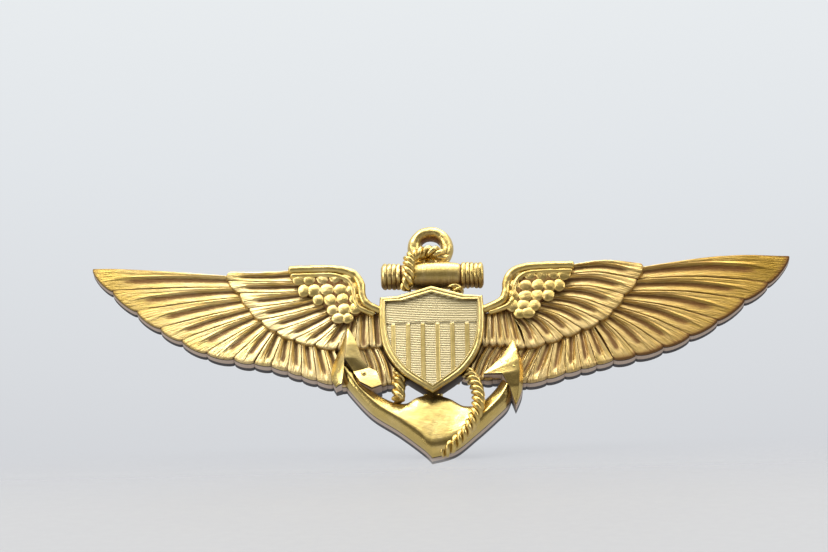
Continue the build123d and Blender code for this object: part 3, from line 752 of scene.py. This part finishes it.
# %% Both palms
palm("left_anchor_palm",
     [([(-8.25, 0.42, 2.7), (-9.15, -1.9, 2.35), (-9.8, -3.6, 2.2), (-9.95, -4.9, 2.2), (-9.5, -5.90, 2.3)],
       [(-8.24, 0.40, 2.7), (-8.45, -1.7, 3.1), (-8.62, -3.2, 3.25), (-8.70, -4.6, 3.2),
        (-8.9, -5.75, 2.9)], True),
      ([(-8.24, 0.40, 2.7), (-8.45, -1.7, 3.1), (-8.62, -3.2, 3.25), (-7.7, -4.5, 2.65)],
       [(-8.23, 0.38, 2.7), (-7.35, -1.6, 2.85), (-6.9, -3.1, 2.75), (-6.27, -4.0, 2.60)], False),
      ([(-7.8, -4.4, 2.66), (-6.27, -4.0, 2.60), (-5.55, -4.35, 2.60)],
       [(-7.1, -5.7, 3.15), (-5.95, -6.4, 3.15), (-5.0, -6.05, 3.05)], False)],
     [(-6.75, -4.75, 2.82, 0.30)], "left_palm")
palm("right_anchor_palm",
     [([(7.96, -1.32, 2.6), (6.95, -3.1, 2.80), (5.0, -5.08, 2.95), (6.8, -5.2, 3.25), (7.5, -6.6, 3.1),
        (8.03, -8.15, 2.3)],
       [(7.97, -1.34, 2.6), (8.25, -2.6, 3.15), (8.45, -3.8, 3.3), (8.52, -5.0, 3.3), (8.40, -6.5, 3.15),
        (8.05, -8.2, 2.3)], False),
      ([(7.97, -1.34, 2.6), (8.25, -2.6, 3.15), (8.45, -3.8, 3.3), (8.52, -5.0, 3.3), (8.40, -6.5, 3.15),
        (8.05, -8.2, 2.3)],
       [(7.99, -1.33, 2.6), (8.58, -2.9, 2.6), (8.86, -4.2, 2.5), (8.86, -5.3, 2.5), (8.66, -6.8, 2.4),
        (8.07, -8.25, 2.3)], True)],
     [(7.45, -4.0, 2.98, 0.60), (7.95, -4.55, 3.1, 0.3), (6.85, -3.95, 2.9, 0.3)], "right_palm")

# %% [markdown]
# ## Stock
# The stock is a turned bar: grainy collars with cross grooves outside and a polished bulge in the
# middle. Spinning a profile makes a turned shape in one step.

# %% Stock
STOCK_HEIGHT = 1.89
STOCK_Z = 6.15


def spin_bar(bm, profile, height, z, steps=40):
    """Turns (x, radius) points round a line along X."""
    layer = bm.verts.layers.float
    start = [bm.verts.new(metal_point(x, z + r, height)) for x, r in profile]
    edges = [bm.edges.new(pair) for pair in zip(start, start[1:])]
    bmesh.ops.spin(bm, geom=start + edges, cent=(0, -height, z), axis=(1, 0, 0), angle=math.tau,
                   steps=steps, use_merge=True)
    grooves = {round(x, 3): groove for (x, r), groove in zip(profile, grooves_of(profile))}
    for vert in bm.verts:
        vert[layer["across"]], vert[layer["along"]] = vert.co.x, vert.co.z
        # The lower side of the bar gets painted shade, and so do the cross grooves.
        underside_shade = 0.6 * ease(-0.35, -0.95, vert.co.z - z)
        vert[layer["depth"]] = max(grooves.get(round(vert.co.x, 3), 0.0), underside_shade)


def grooves_of(profile):
    """1 where the radius drops from the point before and doesn't drop further, otherwise 0."""
    radii = [r for x, r in profile]
    inner = zip(radii, radii[1:], radii[2:])
    return [0.0] + [float(r < before - 0.02 and r < after + 0.02) for before, r, after in inner] + [0.0]


def fluted(start, end, radius, count):
    points = []
    width = (end - start) / count
    for i in range(count):
        for share, drop in ((0.0, 0.10), (0.18, 0.03), (0.5, 0.0), (0.82, 0.03)):
            points.append((start + width * (i + share), radius - drop))
    return points


stock = new_metal()
profile = [(-4.9, 0.001), (-4.9, 0.8), (-4.82, 1.02)] + fluted(-4.75, -2.95, 1.20, 4)
profile += [(-2.95, 1.02), (-2.6, 1.12)]
profile += [(mix(-2.3, 2.3, i / 12), 1.18 + 0.14 * math.sin(math.pi * i / 12)) for i in range(13)]
profile += [(2.65, 1.12), (2.95, 1.02)] + fluted(3.0, 5.05, 1.20, 5)
profile += [(5.1, 1.02), (5.18, 0.8), (5.2, 0.001)]
spin_bar(stock, profile, STOCK_HEIGHT, STOCK_Z)
bmesh.ops.scale(stock, vec=(1.015, 1.0, 1.12), space=Matrix.Translation((0, 0, -STOCK_Z)), verts=stock.verts)
for vert in stock.verts:
    on_collar = ease(2.7, 3.1, abs(vert.co.x)) * ease(5.15, 4.9, abs(vert.co.x))
    rub = 0.11 * noise.noise(vert.co * 1.9) * on_collar
    vert.co += Vector((0, vert.co.y + STOCK_HEIGHT, vert.co.z - STOCK_Z)).normalized() * rub
finish_metal(stock, "anchor_stock_bar", cast_gilt, ["anchor_stock"], crease=50)

# %% [markdown]
# ## Ring
# The ring at the head of the shank is an oval bar bent into a loop, rubbed a little out of true. A
# grid wrapped both ways and merged where it meets itself makes such a loop.

# %% Ring
ring = new_metal()
RING_Z = 9.55
RING_RADIUS = 1.645
RING_HEIGHT = 1.10
BAR_WIDTH = 0.67
BAR_DEPTH = 0.95


def ring_place(angle, turn):
    grain = 0.105 * noise.noise(Vector((math.cos(angle) * 3, math.sin(angle) * 3, turn)))
    r = RING_RADIUS + BAR_WIDTH * math.cos(turn) * (1 + grain * 0.3)
    height = RING_HEIGHT + BAR_DEPTH * math.sin(turn) * (1 + grain)
    return metal_point(r * math.cos(angle), RING_Z + r * math.sin(angle), max(0.1, height))


layer = ring.verts.layers.float
for vert in bmesh.ops.create_grid(ring, x_segments=64, y_segments=20, size=1.0)["verts"]:
    angle, turn = math.pi * (vert.co.x + 1), math.pi * (vert.co.y + 1)
    vert.co = ring_place(angle, turn)
    # Painted shade on the inner side of the upper half of the loop, inside the hole.
    vert[layer["depth"]] = 0.9 * ease(-0.2, -0.95, math.cos(turn)) * ease(0.1, 0.6, math.sin(angle))
    vert[layer["across"]], vert[layer["along"]] = turn * 0.5, angle * 2
bmesh.ops.remove_doubles(ring, verts=ring.verts, dist=1e-4)
finish_metal(ring, "anchor_ring_loop", cast_gilt, ["anchor_ring"], crease=60)

# %% [markdown]
# ## Rope
# A rope is three round strands twisted together. Each strand is a round bar swept along a spiral
# round the rope's centre line, and the grooves between strands get painted shade.

# %% Rope
def add_rope(bm, centre, radius, lay=2.0, strands=3, rows_per_mm=9):
    points = [Vector(p) for p in centre]
    length = sum((along(points, (i + 1) / 60) - along(points, i / 60)).length for i in range(60))
    turns = length / lay
    layer = bm.verts.layers.float
    strand_radius = radius * 0.54
    rows, sides = int(length * rows_per_mm), 12
    for strand in range(strands):
        verts = bmesh.ops.create_grid(bm, x_segments=rows, y_segments=sides, size=1.0)["verts"]
        for vert in verts:
            u, v = (vert.co.x + 1) / 2, (vert.co.y + 1) / 2
            at = along(points, u)
            ahead = (along(points, min(1.0, u + 0.004)) - along(points, max(0.0, u - 0.004))).normalized()
            sideways = ahead.cross(Vector((0.12, 0.08, 1))).normalized()
            up = sideways.cross(ahead)
            swing = math.tau * (turns * u + strand / strands)
            end = ease(0.0, 0.035, min(u, 1 - u)) * 0.9 + 0.1
            out = (sideways * math.cos(swing) + up * math.sin(swing)) * (radius - strand_radius) * end
            around = math.tau * v
            outward = (sideways * math.cos(around) + up * math.sin(around)) * strand_radius * end
            facing = (out.normalized().dot(outward.normalized()) if out.length > 1e-6 else 1.0)
            vert.co = metal_point(*(at + out + outward))
            # Painted shade in the grooves between strands, where a strand faces the rope's middle.
            vert[layer["depth"]] = ease(0.15, -0.55, facing)
            vert[layer["across"]], vert[layer["along"]] = around * 0.2, u * length
        bmesh.ops.remove_doubles(bm, verts=verts, dist=1e-5)
    bmesh.ops.holes_fill(bm, edges=[e for e in bm.edges if e.is_boundary], sides=0)


# %% [markdown]
# ## Where the rope goes
# The rope fouls the anchor: over the ring and down across the stock, a short turn under the stock,
# then from behind the shield round the right arm to the crown. Each visible length is its own piece.

# %% Rope pieces
over_ring = [(1.60, 8.30, 1.10), (0.60, 8.55, 2.40), (-0.90, 8.45, 2.60), (-2.00, 7.60, 3.20),
             (-2.15, 6.60, 3.54), (-2.20, 5.30, 3.30), (-2.60, 4.30, 2.40)]
under_stock = [(1.70, 5.55, 1.60), (2.25, 4.70, 2.05), (2.95, 4.05, 2.35)]
left_of_shank = [(-3.20, -4.00, 1.85), (-3.35, -5.40, 1.95), (-3.40, -7.60, 2.40)]
round_arm = [(2.60, -3.80, 1.90), (3.75, -5.10, 2.20), (4.35, -7.00, 2.90), (4.25, -9.00, 3.25),
             (3.40, -10.85, 3.05), (2.05, -12.25, 2.50), (0.60, -12.95, 1.65)]
for name, node_name, radius, line in (("rope_over_ring", "ring_rope", 0.64, over_ring),
                                      ("rope_under_stock", "stock_rope", 0.62, under_stock),
                                      ("rope_left_of_shank", "left_rope", 0.70, left_of_shank),
                                      ("rope_round_arm", "right_rope", 0.68, round_arm)):
    rope = new_metal()
    add_rope(rope, line, radius)
    finish_metal(rope, name, cast_gilt, [node_name], crease=60)

# %% [markdown]
# ## Shield
# The shield has a raised rim, a chief across the top and six pales below it. Its field is engraved
# with very fine lines. The rim could be beveled from the field, but sweeping its section round the
# outline keeps it crisp; the hatching, a fifth of a millimetre apart, is left to the finish.

# %% Shield rim
SHIELD_MIDDLE = Vector((0.0, -1.3))
SHIELD_BACK = 1.2
RIM_WIDTH = 0.82


def shield_outline(share):
    """A point on the outline, clockwise from the peak, for a share of 0 to 1."""
    half = share * 2 if share <= 0.5 else (1 - share) * 2
    if half < 0.3:
        at = path([(0, 4.43), (3.4, 3.45), (5.08, 3.40)], half / 0.3)
    else:
        at = along([(5.08, 3.40), (5.17, 0.6), (4.68, -2.3), (3.0, -4.9), (0, -7.08)], (half - 0.3) / 0.7)
    return Vector((at.x if share <= 0.5 else -at.x, at.y))


RIM_SHARES = [0.0, 0.10, 0.20, 0.40, 0.48, 0.56, 0.64, 0.80, 0.90, 1.0]
RIM_HEIGHTS = [3.18, 3.32, 3.36, 3.38, 3.38, 3.33, 3.37, 3.38, 3.30, 3.08]


def rim_place(u, v):
    outside = shield_outline(u)
    inside = SHIELD_MIDDLE + (outside - SHIELD_MIDDLE) * (1 - RIM_WIDTH / (outside - SHIELD_MIDDLE).length)
    k = round(v * (len(RIM_SHARES) - 1))
    at = mix(outside, inside, RIM_SHARES[k])
    level = RIM_HEIGHTS[k] - 0.010 * at.x ** 2 + 0.015 * noise.noise(Vector((at.x, at.y, 0)) * 2.5)
    return at.x, at.y, level, 0.08 if k < 8 else 0.6, at.x, at.y


shield = new_metal()
add_shell(shield, 200, len(RIM_SHARES) - 1, rim_place, back=SHIELD_BACK)

# %% [markdown]
# ## Field of the shield
# Inside the rim lies a slightly domed plate with six thin bars and one groove under the chief. They
# are real relief, so they catch the light as the badge turns.

# %% Shield field
bars = [mix(-3.78, 3.48, i / 5) for i in range(6)]


def shield_top(x):
    return stepped([0.0, 3.4, 5.0], [4.1, 3.12, 3.05], abs(x))


def shield_bottom(x):
    return stepped([0.0, 1.5, 2.7, 3.6, 4.3, 4.75], [-6.7, -5.75, -4.7, -3.5, -2.1, 0.6], abs(x))


def field_place(u, v):
    x = mix(-4.75, 4.75, u)
    z = mix(shield_bottom(x), shield_top(x), v)
    bar = max(1 - ease(0.15, 0.24, abs(x - b)) for b in bars) * ease(0.5, 0.38, z)
    line = 1 - ease(0.03, 0.11, abs(z - 0.40))
    level = 3.12 - 0.010 * x * x + 0.13 * bar - 0.07 * line
    return x, z, level, max(0.45 * (1 - bar), line), x, z


add_shell(shield, 240, 150, field_place, back=SHIELD_BACK)
print("shield bars at:", [round(bar, 2) for bar in bars])

# %% [markdown]
# ## Hatching
# The engraved lines are too fine to model, so waves run across the field in its own length and
# width. The rim and the bars stay plain: the same number that marks grooves marks the field.

# %% Shield finish


def hatched():
    f = Finish("shield_gilt")
    place = f.objects_place()
    flat = f.flat_place()
    field = f.clamp(f.attribute("depth"), 0.1, 0.4)
    waves = f.node("ShaderNodeTexWave", {"wave_type": "BANDS", "bands_direction": "Y"}, Vector=flat,
                   Scale=1.65, Distortion=0.6, Detail=1.0)
    lines = Amount(f, waves.outputs["Fac"])
    speck = f.grain(place, 2400.0)
    cloud = f.grain(place, 300.0, detail=3.0)
    edge = f.attribute("edge")
    plain = f.blend(f.clamp(cloud + speck * 0.4, 0.4, 0.9), (0.50, 0.37, 0.11, 1.0), (0.74, 0.58, 0.24, 1.0))
    fielded = f.blend(lines, (0.27, 0.20, 0.07, 1.0), (0.66, 0.58, 0.36, 1.0))
    colour = f.blend(field, plain, fielded)
    side = f.clamp(edge, 0.02, 0.1) * (1 - f.clamp(edge, 0.995, 0.999))
    colour = f.blend(side, colour, SHADOW_LINE)
    roughness = field * 0.06 + 0.32 + speck * 0.1
    height = lines * field + speck * 0.2
    return f.metal(colour, roughness, 1 - field * 0.25, height, distance=0.00004, strength=0.6)


shield_gilt = hatched()
finish_metal(shield, "striped_shield", shield_gilt, ["shield"], crease=40)

# %% [markdown]
# ## Findings on the back
# A hinged pin, its bracket and a turning catch hold the badge to cloth. These keep the shapes of
# the engineered model, with finishes of their own: drawn brass wire, and cast brackets soldered on.

# %% Finishes for the parts behind
def plain_brass(name, dark, light, rough, scale):
    f = Finish(name)
    place = f.objects_place()
    cloud = f.grain(place, scale, detail=4.0)
    drawn = f.grain(f.stretched(place, (120.0, 1500.0, 1500.0)), 1.0, detail=3.0)
    speck = f.grain(place, 3000.0)
    clean = f.clamp(cloud, 0.35, 0.7)
    stain = 1 - clean
    roughness = rough + drawn * 0.15 + stain * 0.12
    return f.metal(f.blend(clean, dark, light), roughness, 1 - stain * 0.2, drawn * 0.5 + speck * 0.3)


bracket_brass = plain_brass("bracket_brass", (0.38, 0.25, 0.09, 1.0), (0.78, 0.58, 0.26, 1.0), 0.28, 700.0)
wire_brass = plain_brass("pin_wire_brass", (0.50, 0.36, 0.16, 1.0), (0.86, 0.70, 0.36, 1.0), 0.18, 500.0)
rotor_brass = plain_brass("rotor_brass", (0.44, 0.29, 0.10, 1.0), (0.82, 0.62, 0.28, 1.0), 0.22, 900.0)
back_gilt = plain_brass("back_gilt", (0.35, 0.24, 0.10, 1.0), (0.66, 0.50, 0.24, 1.0), 0.3, 300.0)
wanted = {"hinge_bracket": bracket_brass, "catch_bracket": bracket_brass, "hinge_rivet": wire_brass,
          "pin_stem": wire_brass, "catch_rotor": rotor_brass, "wing_bridge": back_gilt}
for piece in bpy.data.objects:
    if piece.type == "MESH" and piece.name in wanted:
        slots = piece.data.materials
        if not slots:
            slots.append(wanted[piece.name])
        for i in range(len(slots)):
            slots[i] = wanted[piece.name]
        print("finish for", piece.name)

# %% [markdown]
# ## Floor
# The badge stands on its crown on a pale sweep and leans back, so in the badge's own frame the floor
# is tilted. Only the part near the badge is needed; its edges fade out into the room.

# %% Floor
FLOOR_TILT = math.radians(31)
FLOOR_FRONT, FLOOR_BACK, FLOOR_HALF_WIDTH = 0.115, -0.012, 0.13
contact = Vector((0.0, -1.7, -13.40)) * MM
forward = Vector((0.0, -math.cos(FLOOR_TILT), -math.sin(FLOOR_TILT)))


def floor_finish():
    f = Finish("pale_sweep")
    place = f.objects_place()
    wide = f.grain(place, 18.0, detail=2.0)
    fine = f.grain(place, 900.0)
    uneven = f.clamp(wide, 0.3, 0.7) * 0.35 + fine * 0.1
    colour = f.blend(uneven, (0.285, 0.286, 0.290, 1.0), (0.262, 0.264, 0.272, 1.0))
    return f.surface(fine, 0.00003, 0.2, Base_Color=colour, Roughness=fine * 0.1 + 0.55,
                     Alpha=f.attribute("near"))


floor_mesh = bpy.data.meshes.new("pale_sweep")
floor_bm = bmesh.new()
near = floor_bm.verts.layers.float.new("near")
for vert in bmesh.ops.create_grid(floor_bm, x_segments=40, y_segments=60, size=1.0)["verts"]:
    sideways, reach = vert.co.x, mix(FLOOR_FRONT, FLOOR_BACK, (vert.co.y + 1) / 2)
    vert.co = contact + Vector((sideways * FLOOR_HALF_WIDTH, 0, 0)) + forward * reach
    vert[near] = ease(FLOOR_BACK, 0.030, reach) * ease(FLOOR_FRONT, 0.080, reach)
    vert[near] *= ease(1.0, 0.8, abs(sideways))
bmesh.ops.recalc_face_normals(floor_bm, faces=floor_bm.faces)
floor_bm.to_mesh(floor_mesh)
floor_bm.free()
floor = bpy.data.objects.new("pale_sweep", floor_mesh)
bpy.context.scene.collection.objects.link(floor)
floor_mesh.materials.append(floor_finish())

# %% [markdown]
# ## Room light
# Gilt shows whatever it reflects, so the room is the real lamp: bright above the front, dark from
# straight ahead, pale behind. Grey ramps that run from below to above are enough. The camera itself
# sees only the pale one, so the badge stands before the same backdrop from every side.

# %% Room light
def at_height(degrees):
    """Where a direction this far above the horizon lies on a ramp."""
    return (math.sin(math.radians(degrees)) + 1) / 2


def light_ramp(room, height_share, stops):
    stops = [(at_height(degrees), colour) for degrees, colour in stops]
    return room.node("ShaderNodeValToRGB", stops=stops, Fac=height_share).outputs[0]


world = bpy.data.worlds.new("soft_room")
bpy.context.scene.world = world
world.use_nodes = True
room = Nodes(world.node_tree)
direction = room.node("ShaderNodeTexCoord").outputs["Generated"]
parts = room.node("ShaderNodeSeparateXYZ", Vector=direction).outputs
height_share = room.range_share(parts["Z"], -1.0, 1.0)
front_light = light_ramp(room, height_share, [
    (-60, (0.75, 0.75, 0.77)), (-28, (0.55, 0.55, 0.57)), (-16, (0.13, 0.12, 0.11)), (11, (0.13, 0.12, 0.11)),
    (26, (0.36, 0.36, 0.36)), (42, (1.45, 1.45, 1.45)), (60, (3.4, 3.4, 3.4)), (85, (1.4, 1.4, 1.42))])
back_light = light_ramp(room, height_share, [
    (-60, (0.62, 0.63, 0.65)), (20, (0.60, 0.61, 0.64)), (24, (0.69, 0.71, 0.74)), (28, (0.76, 0.79, 0.82)),
    (32, (0.82, 0.85, 0.87)), (80, (0.95, 0.95, 0.95))])
behind = room.range_share(parts["Y"], -0.02, 0.12)
seen = room.node("ShaderNodeLightPath").outputs["Is Camera Ray"]
shown = room.blend(seen, room.blend(behind, front_light, back_light), back_light)
background = room.node("ShaderNodeBackground", Color=shown, Strength=1.0)
room.node("ShaderNodeOutputWorld", Surface=background.outputs[0])
print("room nodes:", len(world.node_tree.nodes))

# %% [markdown]
# ## Windows
# Four soft windows give the gilt its highlights and the badge a faint shadow. Each is a rectangle
# that faces the badge, with its power in watts and its size in metres.

# %% Windows
def soft_window(name, place, power, wide, tall):
    light = bpy.data.lights.new(name, "AREA")
    light.shape, light.size, light.size_y, light.energy = "RECTANGLE", wide, tall, power
    window = bpy.data.objects.new(name, light)
    window.location = place
    window.rotation_euler = (-Vector(place)).to_track_quat("-Z", "Y").to_euler()
    bpy.context.scene.collection.objects.link(window)
    print(name, "watts:", power)


soft_window("key_window", (-0.22, -0.30, 0.42), 1.5, 0.25, 0.18)
soft_window("top_window", (0.10, -0.08, 0.55), 1.6, 0.40, 0.12)
soft_window("side_window", (0.45, -0.22, 0.20), 0.7, 0.15, 0.2)
soft_window("left_window", (-0.42, -0.24, 0.06), 0.9, 0.16, 0.25)

# %% [markdown]
# ## Camera
# A long lens from 300 mm away, 26 degrees below the badge's own horizon because the badge leans
# back. The camera is aimed beside the middle of the badge instead of shifting the lens.

# %% Camera
AZIMUTH, ELEVATION, ROLL = math.radians(1.0), math.radians(-26.0), math.radians(0.9)
SENSOR_WIDTH = 36.0
LENS = 131.2609
DISTANCE = 300 * MM
AIM_RIGHT, AIM_UP = -1.81848 * MM, 6.35972 * MM
level = math.cos(ELEVATION)
back = Vector((math.sin(AZIMUTH) * level, -math.cos(AZIMUTH) * level, math.sin(ELEVATION)))
right = Vector((math.cos(AZIMUTH), math.sin(AZIMUTH), 0))
up = back.cross(right)
camera_right = right * math.cos(ROLL) - up * math.sin(ROLL)
camera_up = right * math.sin(ROLL) + up * math.cos(ROLL)
aim = camera_right * AIM_RIGHT + camera_up * AIM_UP
camera_data = bpy.data.cameras.new("camera")
camera_data.sensor_width, camera_data.lens = SENSOR_WIDTH, LENS
camera_data.clip_start, camera_data.clip_end = 0.01, 20.0
camera = bpy.data.objects.new("camera", camera_data)
bpy.context.scene.collection.objects.link(camera)
turn = Matrix((camera_right, camera_up, back)).transposed().to_4x4()
camera.matrix_world = Matrix.Translation(aim + back * DISTANCE) @ turn
bpy.context.scene.camera = camera
bpy.context.scene.view_settings.view_transform = "Standard"
print("lens mm:", round(camera_data.lens, 1))
